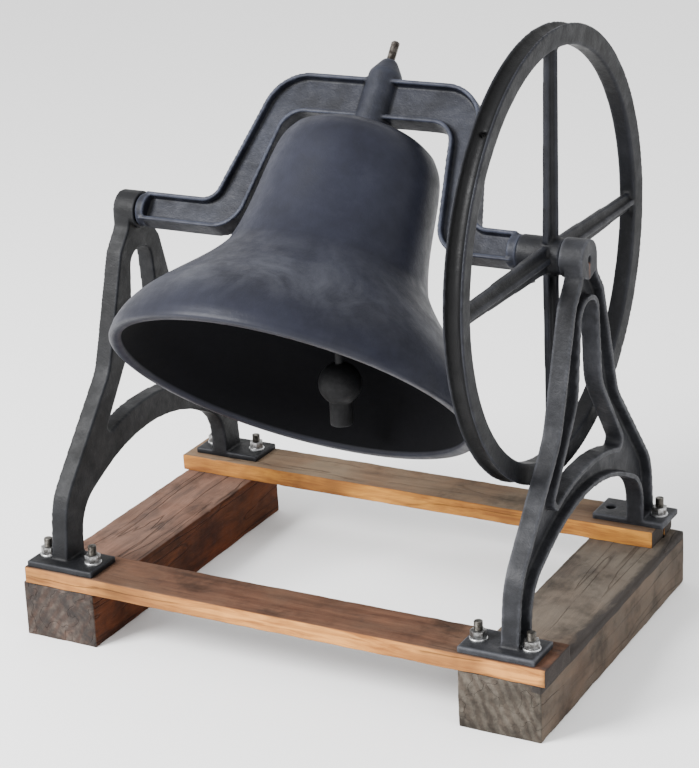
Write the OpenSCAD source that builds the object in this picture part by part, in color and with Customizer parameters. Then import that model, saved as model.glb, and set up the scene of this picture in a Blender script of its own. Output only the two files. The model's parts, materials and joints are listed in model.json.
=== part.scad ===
// Swinging church bell on two cast stands and a timber base. Millimetres, +Z up.
// X is along the trunnions, -Y is the side the mouth leans to.
// The origin is on the ground, midway between the stands.

/* [Bell] */
// Diameter across the lip of the mouth.
mouth_d = 502; // [420:2:620]
// Height of the bell from lip to crown, as a share of the mouth diameter.
bell_share = 0.735; // [0.6:0.005:0.8]
// Distance from the trunnion axis down to the mouth, as a share of the mouth diameter.
drop_share = 0.46; // [0.35:0.005:0.55]
// Distance the bell hangs off the middle, away from the rope wheel.
bell_off = 7; // [0:0.5:20]
// Angle the bell leans at rest, mouth to the front.
tilt = 40; // [0:1:60]
// Wall thickness of the waist.
wall_t = 11; // [6:0.5:18]
// Extra thickness at the sound bow, where the clapper strikes.
bow_t = 9; // [0:0.5:20]

/* [Base timber] */
// Width of a beam, left to right.
beam_w = 116; // [60:1:180]
// Height of a beam.
beam_h = 80; // [40:1:140]
// Length of a beam, front to back.
beam_l = 514; // [400:1:700]
// Width of a cross board, front to back.
board_w = 80; // [62:1:120]
// Thickness of a cross board.
board_t = 24; // [12:1:50]
// Length a board runs past the outer side of a beam.
board_over = 0; // [0:1:40]
// Sideways shift of the two boards against each other.
board_shift = 6; // [0:1:20]
// Length the back board falls short at its right end.
back_short = 14; // [0:1:30]

/* [Stands] */
// Thickness of a stand, left to right.
stand_t = 25; // [14:1:40]
// Thickness of its web.
stand_web_t = 10; // [6:0.5:14]
// Width of the raised bead round its edges.
stand_bead = 7; // [4:0.5:10]
// Distance between the front and back bolt lines.
bolt_line = 452; // [360:1:600]
// Width of a foot plate, left to right.
foot_w = 106; // [90:1:140]
// Depth of a foot plate, front to back.
foot_d = 62; // [40:1:90]
// Thickness of a foot plate.
foot_t = 9; // [5:0.5:16]
// Distance between the two bolts of a foot.
foot_holes = 73; // [60:1:90]
// Gap between the leg and the washer beside it.
washer_gap = 1; // [0.5:0.5:6]
// Outer diameter of the trunnion boss.
boss_d = 52; // [44:1:90]
// Length the boss stands out on the inner side.
boss_proud = 8; // [2:0.5:20]
// Diameter of the small hole in the closed end of the boss.
oil_hole_d = 10; // [4:0.5:14]

/* [Yoke] */
// Depth of the yoke flanges, front to back.
yoke_d = 34; // [20:1:50]
// Thickness of the yoke web.
yoke_web_t = 11; // [6:0.5:16]
// Thickness of the yoke flanges.
yoke_flange_t = 5.5; // [3:0.5:9]
// Height of the yoke arms.
arm_h = 42; // [30:1:60]
// Diameter of the collars at the ends of the arms.
collar_d = 46; // [36:1:70]
// Length of a collar.
collar_l = 13; // [6:1:30]
// Gap between the bell and the inside of the yoke.
yoke_gap = 9; // [6:1:40]
// Height of the middle of the yoke over its opening.
bow_h = 59; // [40:1:90]
// Diameter of the middle boss.
hub_boss_d = 47; // [30:1:60]
// Diameter of the two trunnions.
trunnion_d = 28; // [18:1:40]

/* [Rope wheel] */
// Outer diameter of the wheel.
wheel_d = 590; // [440:2:720]
// Width of the rim.
rim_w = 27; // [18:1:44]
// Radial height of the rim.
rim_h = 28; // [20:1:44]
// Radius of the rope groove.
groove_r = 10; // [6:0.5:14]
// Diameter of the wheel hub.
wheel_hub_d = 48; // [38:1:70]
// Width of a spoke at the hub.
spoke_w0 = 36; // [20:1:44]
// Width of a spoke at the rim.
spoke_w1 = 23; // [12:1:36]
// Thickness of the flat of a spoke.
spoke_t = 8; // [5:0.5:14]
// Thickness of the rib on a spoke.
rib_t = 8; // [4:0.5:12]
// Height of the rib on a spoke.
rib_h = 7; // [2:0.5:12]
// Gap between the lip of the bell and the wheel.
lip_gap = 40; // [20:1:60]
// Gap between the wheel rim and the stand.
wheel_gap = 15; // [6:1:40]

/* [Crown and clapper] */
// Diameter of the crown bolt.
crown_bolt_d = 13; // [8:1:20]
// How much thinner the crown bolt's threaded end is.
thread_under = 1; // [0.2:0.1:2]
// Length of the crown bolt above the boss.
stud_up = 29; // [10:1:60]
// Distance from the trunnion axis up to the clapper pin, negative when it is below.
pivot_up = -26; // [-60:1:60]
// Diameter of the clapper pin.
pin_d = 10; // [6:0.5:16]
// Thickness of the tongue the clapper hangs on.
tongue_t = 10; // [6:0.5:16]
// Thickness of each cheek of the clapper fork.
cheek_t = 6; // [4:0.5:10]
// Diameter of the clapper arm.
rod_d = 12; // [8:0.5:20]
// Distance from the pin to the middle of the clapper ball.
ball_drop = 190; // [120:1:230]
// Diameter of the clapper ball.
ball_d = 60; // [40:1:90]
// Distance from the pin to the end of the clapper.
clapper_l = 249; // [190:1:270]
// Diameter of the tail below the ball.
tail_d = 32; // [20:1:40]

/* [Foot bolts] */
// Diameter of the foot bolts.
foot_bolt_d = 12; // [8:0.5:16]
// Clearance on the diameter of the bolt holes.
hole_clear = 2; // [0.5:0.5:4]
// Width of the bolt head around the shank.
head_rim = 5; // [3:0.5:10]
// Height of the bolt head.
head_h = 6; // [4:0.5:10]
// Radial clearance of the sunk hole under the head.
head_clear = 1.5; // [0.5:0.5:4]
// Height of a foot bolt above its nut.
bolt_up = 13; // [4:1:30]
// Width of the washer that shows around the flats of the nut.
washer_rim = 2.4; // [2:0.1:6]
// Thickness of a foot washer.
foot_washer_t = 2.5; // [1:0.5:5]

/* [Fits] */
// Radial clearance of a running fit.
run_fit = 0.08; // [0.02:0.01:0.1]
// Gap between faces that move past each other.
side_gap = 0.4; // [0.3:0.05:1]
// Axial play at the end of a trunnion.
end_play = 2; // [1:0.5:5]

/* [Hidden] */
$fn = 96;

// Bell heights are counted from the lip upward.
mouth_r = mouth_d / 2;
bell_h = bell_share * mouth_d;
drop = drop_share * mouth_d;
crown_v = bell_h - drop;
waist_r = 0.253 * mouth_d;
swing_r = norm([drop, mouth_r]);

// Heights of the base and the trunnion axis.
deck_z = beam_h + board_t;
axis_up = swing_r + 108;
axis_z = deck_z + axis_up;

// Places along the trunnion axis.
wheel_x0 = mouth_r - bell_off + lip_gap;
wheel_x1 = wheel_x0 + rim_w;
wheel_mid = (wheel_x0 + wheel_x1) / 2;
stand_x = wheel_x1 + wheel_gap;
boss_x = stand_x - boss_proud;
boss_end = stand_x + stand_t;
hub_x1 = boss_x - side_gap;
hub_x0 = hub_x1 - 60;
trunnion_r = trunnion_d / 2;
trunnion_end = boss_end - 6 - end_play;
bolt_hole_r = (foot_bolt_d + hole_clear) / 2;
nut_af = 1.6 * foot_bolt_d;
foot_washer_d = nut_af + 2 * washer_rim;
foot_x = boss_end + washer_gap + foot_washer_d / 2 - foot_holes / 2;
head_r = foot_bolt_d / 2 + head_rim;
head_z = 6;
sink_h = head_z + head_h;
nut_h = 0.85 * foot_bolt_d;
bolt_top = deck_z + foot_t + foot_washer_t + nut_h + bolt_up;
board_y = bolt_line / 2 + foot_d / 2 - board_w / 2 + 2.5;
beam_x = foot_x + 5;
iron = "#26272d";

// Yoke outline, upward from the trunnion axis.
yoke_open_r = waist_r + yoke_gap;
open_top = crown_v + 25;
yoke_top = open_top + bow_h;
arm_top = arm_h / 2 + 1;
arm_low = arm_top - arm_h;
boss_top = yoke_top + 34;

// Rounded outlines: each corner is [x, y, radius].
function unit(v) = v / norm(v);
function xy(p) = [p[0], p[1]];
function cross2(a, b) = a[0] * b[1] - a[1] * b[0];
function side_in(a, b, c) = cross2(xy(b) - xy(a), xy(c) - xy(b)) > 0 ? 1 : -1;
function half_angle(a, b, c) = acos(unit(xy(a) - xy(b)) * unit(xy(c) - xy(b))) / 2;
function middle(a, b, c) = unit(unit(xy(a) - xy(b)) + unit(xy(c) - xy(b)));
function around(p, i) = [p[(i + len(p) - 1) % len(p)], p[i], p[(i + 1) % len(p)]];
function arc_corner(a, b, c) =
    let (h = half_angle(a, b, c), s = side_in(a, b, c), m = middle(a, b, c),
         o = xy(b) + m * b[2] / sin(h), t = xy(b) + unit(xy(a) - xy(b)) * b[2] / tan(h) - o,
         sweep = s * (180 - 2 * h), n = max(2, ceil(abs(sweep) / 6)))
    [for (k = [0:n]) let (q = sweep * k / n) o + [t[0] * cos(q) - t[1] * sin(q), t[0] * sin(q) + t[1] * cos(q)]];
function rounded(p) = [for (i = [0:len(p) - 1]) let (q = around(p, i))
    each (q[1][2] > 0 ? arc_corner(q[0], q[1], q[2]) : [xy(q[1])])];
// The same outline moved inward by e, counter-clockwise corners.
function inset(p, e) = [for (i = [0:len(p) - 1])
    let (q = around(p, i), h = half_angle(q[0], q[1], q[2]), s = side_in(q[0], q[1], q[2]),
         b = xy(q[1]) + s * middle(q[0], q[1], q[2]) * e / sin(h))
    [b[0], b[1], q[1][2] > 0 ? max(q[1][2] - s * e, 0.5) : 0]];
// A right half listed bottom to top, closed by its mirror image.
function both(p) = concat(p, [for (i = [len(p) - 1:-1:0]) [-p[i][0], p[i][1], p[i][2]]]);

// One cubic curve in n pieces, without its end point.
function curve(a, b, c, d, n) = [for (k = [0:n - 1]) let (t = k / n, u = 1 - t)
    a * u * u * u + 3 * b * u * u * t + 3 * c * u * t * t + d * t * t * t];

// Things that swing are drawn leaning, with the trunnion axis at their zero height.
module leaning() {
    translate([0, 0, axis_z]) rotate([-tilt, 0, 0]) children();
}
bell_x = -bell_off;
module by_bell() {
    leaning() translate([bell_x, 0, 0]) children();
}

module at_feet() {
    for (sx = [-1, 1], sy = [-1, 1], k = [-1, 1])
        translate([sx * (foot_x + k * foot_holes / 2), sy * bolt_line / 2, 0]) children();
}

// Every hole has its bolt except the inner back one on the right.
module at_bolts() {
    for (sx = [-1, 1], sy = [-1, 1], k = [-1, 1])
        if (!(sx == 1 && sy == 1 && k == -1))
            translate([sx * (foot_x + k * foot_holes / 2), sy * bolt_line / 2, 0]) children();
}

module beam(side) {
    difference() {
        translate([side * beam_x - beam_w / 2, -beam_l / 2, 0]) cube([beam_w, beam_l, beam_h]);
        at_feet() translate([0, 0, -1]) cylinder(h = beam_h + 2, r = bolt_hole_r);
        at_feet() translate([0, 0, -1]) cylinder(h = sink_h + 1, r = head_r + head_clear);
    }
}

module board(side) {
    half = beam_x + beam_w / 2 + board_over;
    board_l = 2 * half - (side > 0 ? back_short : 0);
    difference() {
        translate([-half - side * board_shift, side * board_y - board_w / 2, beam_h])
            cube([board_l, board_w, board_t]);
        at_feet() translate([0, 0, beam_h - 1]) cylinder(h = board_t + 2, r = bolt_hole_r);
    }
}

// Stand outlines: across the stand, and up from the deck.
leg_out = bolt_line / 2 + 13;
leg_w = 42;
stand_outline = both([[leg_out, foot_t / 2, 0], [leg_out - 10, 0.205 * axis_up, 90],
    [0.224 * axis_up, 0.534 * axis_up, 75], [boss_d / 2 + 24, axis_up - boss_d / 2 - 24, 16],
    [boss_d / 2, axis_up - 20, 18], [boss_d / 2 - 0.5, axis_up + 6, 4]]);
upper_opening = both([[0.283 * bolt_line, 0.325 * axis_up, 8], [0.082 * axis_up, 0.6 * axis_up, 70],
    [25, axis_up - boss_d / 2 - 30, 22]]);
arch_rise = 0.43 * axis_up;
opening_top = concat([[0, arch_rise, 330]], upper_opening);
lower_opening = both([[leg_out - leg_w, -30, 0], [leg_out - leg_w - 7, 0.16 * axis_up, 60]]);
arch_low = concat([for (i = [0:1]) lower_opening[i]], [[0, 0.367 * axis_up, 300]],
    [for (i = [2:3]) lower_opening[i]]);

module flat_plate(p, h) {
    rotate([90, 0, 90]) linear_extrude(height = h) polygon(rounded(p));
}

module stand_body() {
    difference() {
        union() {
            translate([stand_x, 0, deck_z]) difference() {
                union() {
                    flat_plate(stand_outline, stand_t);
                    translate([0, 0, axis_up]) rotate([0, 90, 0]) cylinder(h = stand_t, d = boss_d);
                }
                translate([-1, 0, 0]) flat_plate(opening_top, stand_t + 2);
                translate([-1, 0, 0]) flat_plate(arch_low, stand_t + 2);
                translate([stand_web_t, 0, 0]) difference() {
                    flat_plate(inset(stand_outline, stand_bead), stand_t);
                    translate([-1, 0, 0]) flat_plate(inset(opening_top, -stand_bead), stand_t + 2);
                    translate([-1, 0, 0]) flat_plate(inset(arch_low, -stand_bead), stand_t + 2);
                    translate([-1, 0, axis_up]) rotate([0, 90, 0]) cylinder(h = stand_t + 2, d = boss_d);
                }
            }
            translate([boss_x, 0, axis_z]) rotate([0, 90, 0])
                cylinder(h = boss_proud + 1, d = boss_d);
            for (sy = [-1, 1])
                translate([foot_x - foot_w / 2, sy * bolt_line / 2 - foot_d / 2, deck_z])
                    cube([foot_w, foot_d, foot_t]);
        }
        translate([boss_x - 1, 0, axis_z]) rotate([0, 90, 0])
            cylinder(h = trunnion_end + end_play - boss_x + 1, r = trunnion_r + run_fit);
        translate([boss_x, 0, axis_z]) rotate([0, 90, 0])
            cylinder(h = stand_t + boss_proud + 2, d = oil_hole_d);
        at_feet() translate([0, 0, deck_z - 1]) cylinder(h = foot_t + 2, r = bolt_hole_r);
    }
}

module left_beam() {
    color("#8a5c45") beam(-1);
}

module right_beam() {
    color("#7d756c") beam(1);
}

module front_board() {
    color("#a98a63") board(-1);
}

module back_board() {
    color("#b0905f") board(1);
}

module left_stand() {
    color(iron) mirror([1, 0, 0]) stand_body();
}

module right_stand() {
    color(iron) stand_body();
}

module foot_bolts() {
    color("#55504a") at_bolts() {
        translate([0, 0, head_z]) cylinder(h = bolt_top - head_z, d = foot_bolt_d);
        translate([0, 0, head_z]) cylinder(h = head_h, r = head_r);
    }
}

module foot_washers() {
    color("#c9ccd0") at_bolts() translate([0, 0, deck_z + foot_t]) difference() {
        cylinder(h = foot_washer_t, d = foot_washer_d);
        translate([0, 0, -1]) cylinder(h = foot_washer_t + 2, d = foot_bolt_d + 0.6);
    }
}

module foot_nuts() {
    color("#9b9ea3") at_bolts() translate([0, 0, deck_z + foot_t + foot_washer_t]) difference() {
        cylinder(h = nut_h, r = nut_af / sqrt(3), $fn = 6);
        translate([0, 0, -1]) cylinder(h = nut_h + 2, d = foot_bolt_d);
    }
}

// The yoke, with both trunnions in the same casting.
yoke_outline = [[hub_x0 - collar_l / 2, arm_low, 0], [hub_x0 - collar_l / 2, arm_top, 0],
    [bell_x + yoke_open_r + 61, arm_top, 22], [bell_x + yoke_open_r + 16, yoke_top, 62],
    [bell_x - yoke_open_r - 16, yoke_top, 62], [bell_x - yoke_open_r - 61, arm_top, 22],
    [-hub_x1 + collar_l / 2, arm_top, 0], [-hub_x1 + collar_l / 2, arm_low, 0],
    [bell_x - yoke_open_r - 15, arm_low, 44], [bell_x - yoke_open_r + 13, open_top, 32],
    [bell_x + yoke_open_r - 13, open_top, 32], [bell_x + yoke_open_r + 15, arm_low, 44]];

module upright(p, h) {
    rotate([90, 0, 0]) linear_extrude(height = h, center = true) polygon(rounded(p));
}

module yoke() {
    pocket = (yoke_d - yoke_web_t) / 2;
    color(iron) leaning() difference() {
        union() {
            difference() {
                upright(yoke_outline, yoke_d);
                for (s = [-1, 1]) translate([0, s * (yoke_web_t + pocket + 1) / 2, 0])
                    upright(inset(yoke_outline, yoke_flange_t), pocket + 1);
            }
            translate([hub_x0 - collar_l, 0, 0]) rotate([0, 90, 0]) cylinder(h = collar_l, d = collar_d);
            translate([-hub_x1, 0, 0]) rotate([0, 90, 0]) cylinder(h = collar_l, d = collar_d);
            translate([hub_x0 - 1, 0, 0]) rotate([0, 90, 0])
                cylinder(h = trunnion_end - hub_x0 + 1, d = trunnion_d);
            translate([-trunnion_end, 0, 0]) rotate([0, 90, 0])
                cylinder(h = trunnion_end - hub_x1 + 1, d = trunnion_d);
            translate([bell_x, 0, 0]) rotate_extrude() polygon(concat([[0, crown_v]],
                rounded([[hub_boss_d / 2 + 2, crown_v, 0], [hub_boss_d / 2, boss_top - 22, 14],
                    [crown_bolt_d / 2 + 3, boss_top, 4], [0, boss_top, 0]])));
        }
        translate([bell_x, 0, crown_v - 1]) cylinder(h = boss_top - crown_v + 2, d = crown_bolt_d);
    }
}

// Four tapered spokes with a rib on the outer side.
module spoke() {
    hub_r = wheel_hub_d / 2 - 3;
    rim_r = wheel_d / 2 - rim_h + 3;
    rotate([90, 0, 90]) {
        translate([0, 0, -spoke_t / 2]) linear_extrude(height = spoke_t)
            polygon([[-spoke_w0 / 2, hub_r], [spoke_w0 / 2, hub_r], [spoke_w1 / 2, rim_r],
                [-spoke_w1 / 2, rim_r]]);
        translate([0, 0, spoke_t / 2 - 1]) linear_extrude(height = rib_h + 1)
            translate([-rib_t / 2, hub_r]) square([rib_t, rim_r - hub_r]);
    }
}

screw_d = 10;
module along_screw() {
    translate([hub_x0 + 14, 0, 0]) rotate([-150, 0, 0]) children();
}

module rope_wheel() {
    rim_r = wheel_d / 2;
    color(iron) leaning() difference() {
        union() {
            translate([wheel_mid, 0, 0]) rotate([0, 90, 0]) rotate_extrude($fn = 180) difference() {
                polygon(rounded([[rim_r - rim_h, -rim_w / 2 + 2, 3], [rim_r, -rim_w / 2, 2],
                    [rim_r, rim_w / 2, 2], [rim_r - rim_h, rim_w / 2 - 2, 3]]));
                translate([rim_r, 0]) circle(r = groove_r, $fn = 48);
            }
            translate([hub_x0, 0, 0]) rotate([0, 90, 0]) cylinder(h = hub_x1 - hub_x0, d = wheel_hub_d);
            translate([wheel_mid, 0, 0]) for (a = [0:90:270]) rotate([a + tilt, 0, 0]) spoke();
        }
        translate([hub_x0 - 1, 0, 0]) rotate([0, 90, 0])
            cylinder(h = hub_x1 - hub_x0 + 2, d = trunnion_d);
        along_screw() cylinder(h = wheel_hub_d, d = screw_d);
        translate([wheel_mid, 0, 0]) rotate([44 + tilt, 0, 0]) translate([0, 0, rim_r - rim_h - 1])
            cylinder(h = rim_h, d = 9);
    }
}

module wheel_screw() {
    color("#6b6a68") leaning() along_screw() {
        translate([0, 0, trunnion_r]) cylinder(h = wheel_hub_d / 2 - trunnion_r + 6, d = screw_d);
        translate([-screw_d / 2, -screw_d / 2, wheel_hub_d / 2 + 5]) cube([screw_d, screw_d, 9]);
    }
}

// Outer side of the bell, lip upward, and the inner side from its own normal and wall.
outer_side = concat(
    curve([mouth_r, 3], [mouth_r, 0.185 * bell_h], [0.685 * mouth_r, 0.3 * bell_h],
        [0.555 * mouth_r, 0.46 * bell_h], 22),
    curve([0.555 * mouth_r, 0.46 * bell_h], [0.485 * mouth_r, 0.6 * bell_h], [0.49 * mouth_r, 0.74 * bell_h],
        [0.455 * mouth_r, 0.87 * bell_h], 16),
    curve([0.455 * mouth_r, 0.87 * bell_h], [0.435 * mouth_r, 0.94 * bell_h],
        [0.38 * mouth_r, 0.985 * bell_h], [0.27 * mouth_r, bell_h], 10),
    [[0.27 * mouth_r, bell_h]]);
function wall_at(z) = wall_t + bow_t * exp(-pow((z - 0.09 * bell_h) / (0.1 * bell_h), 2));
function slope_at(p, i) = unit(p[min(i + 1, len(p) - 1)] - p[max(i - 1, 0)]);
inner_side = [for (i = [0:len(outer_side) - 1]) let (p = outer_side[i], u = slope_at(outer_side, i))
    p + [-u[1], u[0]] * wall_at(p[1])];
inner_top = bell_h - wall_t;
crown_washer_d = 3 * crown_bolt_d;
crown_washer_t = 3;

module bell() {
    last = len(inner_side) - 1;
    color(iron) by_bell() translate([0, 0, -drop]) difference() {
        rotate_extrude($fn = 180) polygon(concat(
            [[mouth_r - 3, 0]], outer_side, [[0, bell_h], [0, inner_top], [crown_washer_d / 2 + 4, inner_top]],
            [for (i = [last:-1:0]) if (inner_side[i][1] > 2 && inner_side[i][1] < inner_top) inner_side[i]],
            [[mouth_r - wall_t - bow_t * 0.3, 0]]));
        translate([0, 0, inner_top - 1]) cylinder(h = wall_t + 2, d = crown_bolt_d + 1);
    }
}

nut_top = crown_v - wall_t - crown_washer_t;
crown_nut_h = 0.85 * crown_bolt_d;
eye_r = pin_d / 2 + 8;

module crown_bolt() {
    color("#5b5650") by_bell() {
        translate([0, 0, pivot_up + eye_r + 4])
            cylinder(h = boss_top - pivot_up - eye_r - 4, d = crown_bolt_d);
        translate([0, 0, boss_top - 1]) cylinder(h = stud_up + 1, d = crown_bolt_d - thread_under);
        difference() {
            union() {
                translate([-tongue_t / 2, 0, pivot_up]) rotate([0, 90, 0])
                    cylinder(h = tongue_t, r = eye_r);
                translate([0, 0, pivot_up + eye_r - 3]) cylinder(h = 12, r = eye_r - 1);
            }
            translate([-tongue_t, 0, pivot_up]) rotate([0, 90, 0])
                cylinder(h = 2 * tongue_t, r = pin_d / 2 + run_fit);
            for (s = [-1, 1]) translate([s * (tongue_t / 2 + 20), 0, pivot_up])
                cube([40, 60, 2 * eye_r + 6], center = true);
        }
    }
}

module crown_washer() {
    color("#6b6a68") by_bell() translate([0, 0, nut_top]) difference() {
        cylinder(h = crown_washer_t, d = crown_washer_d);
        translate([0, 0, -1]) cylinder(h = crown_washer_t + 2, d = crown_bolt_d + 1);
    }
}

module crown_nut() {
    color("#6b6a68") by_bell() translate([0, 0, nut_top - crown_nut_h]) difference() {
        cylinder(h = crown_nut_h, r = 1.6 * crown_bolt_d / sqrt(3), $fn = 6);
        translate([0, 0, -1]) cylinder(h = crown_nut_h + 2, d = crown_bolt_d);
    }
}

// The clapper hangs straight down from its pin.
module hanging() {
    translate([bell_x, pivot_up * sin(tilt), axis_z + pivot_up * cos(tilt)]) children();
}
fork_half = tongue_t / 2 + side_gap + cheek_t;

module clapper_arm() {
    fork_w = 2 * pin_d + 4;
    root = eye_r + 6;
    color(iron) hanging() {
        difference() {
            union() {
                for (s = [-1, 1]) translate([s * (fork_half - cheek_t / 2), 0, 0]) {
                    translate([-cheek_t / 2, 0, 0]) rotate([0, 90, 0]) cylinder(h = cheek_t, d = fork_w);
                    translate([-cheek_t / 2, -fork_w / 2, -root - 4]) cube([cheek_t, fork_w, root + 4]);
                }
                translate([-fork_half, -fork_w / 2, -root - 10]) cube([2 * fork_half, fork_w, 10]);
            }
            translate([-fork_half - 1, 0, 0]) rotate([0, 90, 0])
                cylinder(h = 2 * fork_half + 2, d = pin_d);
        }
        translate([0, 0, -clapper_l + 14]) cylinder(h = clapper_l - 14 - root - 5, d = rod_d);
    }
}

module clapper_pin() {
    color("#6b6a68") hanging() difference() {
        union() {
            translate([-fork_half - 4, 0, 0]) rotate([0, 90, 0]) cylinder(h = 2 * fork_half + 12, d = pin_d);
            translate([-fork_half - 4, 0, 0]) rotate([0, 90, 0]) cylinder(h = 4, d = 1.6 * pin_d);
        }
        translate([fork_half + 4, 0, -pin_d]) cylinder(h = 2 * pin_d, d = 2.6);
    }
}

module clapper_cotter() {
    color("#8a8c90") hanging() translate([fork_half + 4, 0, 0]) {
        translate([0, 0, -pin_d / 2 - 5]) cylinder(h = pin_d + 7, d = 2.6);
        translate([0, 0, pin_d / 2 + 4.5]) rotate([0, 90, 0]) rotate_extrude() translate([3, 0]) circle(d = 2);
    }
}

module clapper_ball() {
    color(iron) hanging() difference() {
        union() {
            translate([0, 0, -ball_drop]) sphere(d = ball_d);
            translate([0, 0, -clapper_l]) cylinder(h = clapper_l - ball_drop, d = tail_d);
        }
        translate([0, 0, -clapper_l + 14]) cylinder(h = clapper_l, d = rod_d);
    }
}

left_beam();
right_beam();
front_board();
back_board();
left_stand();
right_stand();
foot_bolts();
foot_washers();
foot_nuts();
yoke();
rope_wheel();
wheel_screw();
bell();
crown_bolt();
crown_washer();
crown_nut();
clapper_arm();
clapper_pin();
clapper_cotter();
clapper_ball();
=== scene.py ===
import json
import math

import bmesh
import bpy
import numpy as np
from mathutils import Matrix, Vector


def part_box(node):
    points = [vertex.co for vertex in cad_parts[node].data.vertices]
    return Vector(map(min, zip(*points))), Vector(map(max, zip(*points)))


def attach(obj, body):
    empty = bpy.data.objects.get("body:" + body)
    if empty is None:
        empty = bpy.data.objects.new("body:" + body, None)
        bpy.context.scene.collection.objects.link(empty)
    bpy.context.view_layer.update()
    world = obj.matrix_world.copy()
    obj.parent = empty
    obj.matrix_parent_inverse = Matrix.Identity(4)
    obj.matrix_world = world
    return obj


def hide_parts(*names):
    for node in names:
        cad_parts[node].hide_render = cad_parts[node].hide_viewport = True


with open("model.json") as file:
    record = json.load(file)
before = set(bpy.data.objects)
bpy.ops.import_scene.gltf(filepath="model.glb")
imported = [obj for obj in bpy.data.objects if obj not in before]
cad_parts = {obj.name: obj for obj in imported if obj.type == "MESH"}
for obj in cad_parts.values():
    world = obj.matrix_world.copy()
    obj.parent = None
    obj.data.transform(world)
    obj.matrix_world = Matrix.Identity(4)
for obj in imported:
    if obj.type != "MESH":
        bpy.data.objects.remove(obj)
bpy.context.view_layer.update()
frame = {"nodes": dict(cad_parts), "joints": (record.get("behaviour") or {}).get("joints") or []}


# ---------------------------------------------------------------- beams
# Two sawn sleepers of old softwood lie front to back and carry everything.
# The left one is red-brown, the right one has weathered grey; both have
# checked end grain and edges that handling has worn round.

def softened_copy(name, node, voxel, rounds, sway=0.0, sway_size=0.05):
    """A copy of a CAD node with even points, its edges worn round and its faces slightly uneven."""
    piece = bpy.data.objects.new(name, frame["nodes"][node].data.copy())
    bpy.context.scene.collection.objects.link(piece)
    piece.data.materials.clear()
    bm = bmesh.new()
    bm.from_mesh(piece.data)
    bmesh.ops.remove_doubles(bm, verts=bm.verts, dist=1e-5)
    bm.to_mesh(piece.data)
    bm.free()
    even = piece.modifiers.new("even points", "REMESH")
    even.mode = "VOXEL"
    even.voxel_size = voxel
    even.use_smooth_shade = True
    soft = piece.modifiers.new("worn round", "SMOOTH")
    soft.factor = 0.5
    soft.iterations = rounds
    if sway:
        hills = bpy.data.textures.new(name + " hills", "CLOUDS")
        hills.noise_scale = sway_size
        uneven = piece.modifiers.new("uneven", "DISPLACE")
        uneven.texture = hills
        uneven.texture_coords = "LOCAL"
        uneven.strength = sway
        uneven.mid_level = 0.5
    depsgraph = bpy.context.evaluated_depsgraph_get()
    finished = bpy.data.meshes.new_from_object(piece.evaluated_get(depsgraph))
    piece.modifiers.clear()
    piece.data = finished
    piece.data.name = name
    return piece


def read_vectors(items, name):
    """One vector for each item of a mesh, as rows of an array."""
    values = np.zeros(len(items) * 3, np.float32)
    items.foreach_get(name, values)
    return values.reshape(-1, 3)


def write_mark(mesh, name, values):
    """A number for each point of a mesh, which a material reads by its name."""
    mark = mesh.attributes.new(name, "FLOAT", "POINT")
    mark.data.foreach_set("value", np.asarray(values, np.float32))


def finish_piece(piece, body, slot, material, *nodes):
    """Gives a piece its material, sets it on its body and hides the CAD nodes it stands for."""
    piece.data.materials.clear()
    piece.data.materials.append(material)
    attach(piece, body)
    if nodes:
        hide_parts(*nodes)
    return piece


def node_tree(material):
    """The nodes, links and Principled shader of a new material."""
    material.use_nodes = True
    tree = material.node_tree
    return tree.nodes, tree.links, tree.nodes["Principled BSDF"]


def new_group(name, numbers, colours, outputs):
    """An empty shader group with named number and colour inputs and named outputs."""
    group = bpy.data.node_groups.new(name, "ShaderNodeTree")
    for label, value in numbers:
        socket = group.interface.new_socket(label, in_out="INPUT", socket_type="NodeSocketFloat")
        socket.default_value = value
    for label, value in colours:
        socket = group.interface.new_socket(label, in_out="INPUT", socket_type="NodeSocketColor")
        socket.default_value = (*value, 1)
    for label, kind in outputs:
        group.interface.new_socket(label, in_out="OUTPUT", socket_type=kind)
    return group, group.nodes.new("NodeGroupInput"), group.nodes.new("NodeGroupOutput")


def add(group, kind, inputs=None, **settings):
    """A node with its settings, and its inputs as values or as sockets to link."""
    node = group.nodes.new(kind)
    for key, value in settings.items():
        setattr(node, key, value)
    for key, value in (inputs or {}).items():
        if isinstance(value, bpy.types.NodeSocket):
            group.links.new(value, node.inputs[key])
        else:
            node.inputs[key].default_value = value
    return node


def ramp(group, factor, *stops):
    """A colour ramp read from factor, with stops of place and grey or colour."""
    node = add(group, "ShaderNodeValToRGB", {"Fac": factor})
    band = node.color_ramp
    while len(band.elements) < len(stops):
        band.elements.new(0.5)
    for element, (place, tone) in zip(band.elements, stops):
        element.position = place
        element.color = (*tone, 1) if isinstance(tone, tuple) else (tone, tone, tone, 1)
    return node.outputs["Color"]


def mixed(group, factor, a, b, blend="MIX"):
    """Two colours mixed by factor."""
    node = group.nodes.new("ShaderNodeMix")
    node.data_type = "RGBA"
    node.blend_type = blend
    for key, value in ((0, factor), (6, a), (7, b)):
        if isinstance(value, bpy.types.NodeSocket):
            group.links.new(value, node.inputs[key])
        elif key == 0:
            node.inputs[key].default_value = value
        else:
            node.inputs[key].default_value = (*value, 1)
    return node.outputs[2]


def maths(group, operation, a, b=0.0, clamp=False):
    """A Math node's value."""
    return add(group, "ShaderNodeMath", {0: a, 1: b}, operation=operation, use_clamp=clamp).outputs[0]


def noise(group, place, scale, detail, roughness=0.5, distortion=0.0):
    """The value of a noise texture."""
    return add(group, "ShaderNodeTexNoise", {
        "Vector": place, "Scale": scale, "Detail": detail,
        "Roughness": roughness, "Distortion": distortion}).outputs["Fac"]


def stretched(group, place, scale, location=(0.0, 0.0, 0.0)):
    """Places scaled along each axis, so that a texture's marks are drawn out."""
    return add(group, "ShaderNodeMapping", {
        "Vector": place, "Location": location, "Scale": scale}).outputs[0]


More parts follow.
